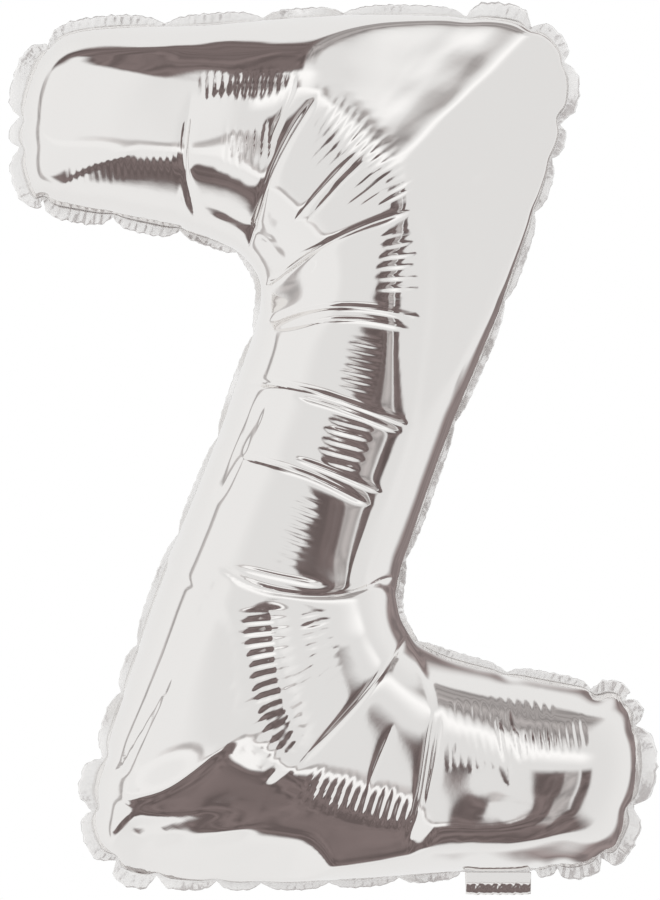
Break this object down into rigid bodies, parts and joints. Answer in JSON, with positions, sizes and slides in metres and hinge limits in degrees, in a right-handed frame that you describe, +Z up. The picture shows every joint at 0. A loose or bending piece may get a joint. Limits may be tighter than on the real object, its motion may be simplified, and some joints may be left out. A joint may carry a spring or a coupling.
{
  "type": "letter foil balloon",
  "caption": "Air-filled silver foil balloon in the shape of a capital Z, with a puckered heat-sealed rim and a fill tail folded up behind its lower bar.",
  "frame": {"origin": "middle of the letter, on its seam plane, where the air around it is taken to hold it up", "axes": "+X to the reader's right, +Y away from the reader through the seam plane, +Z up the letter"},
  "size_m": [0.2602, 0.0937, 0.3576],
  "materials": {
    "foil": "mirror-bright metallised film, tight and finely wrinkled",
    "sealed_rim": "metallised film, heat sealed, with the seal bars' crimped grain",
    "tail_foil": "metallised film, slack and lightly creased",
    "valve_film": "clear slippery film"
  },
  "bodies": {
    "root": {"front_film": "foil", "back_film": "foil", "seam_flange": "sealed_rim", "tail_front_film": "tail_foil", "tail_back_film": "tail_foil", "valve_sleeve": "valve_film"}
  },
  "joints": []
}
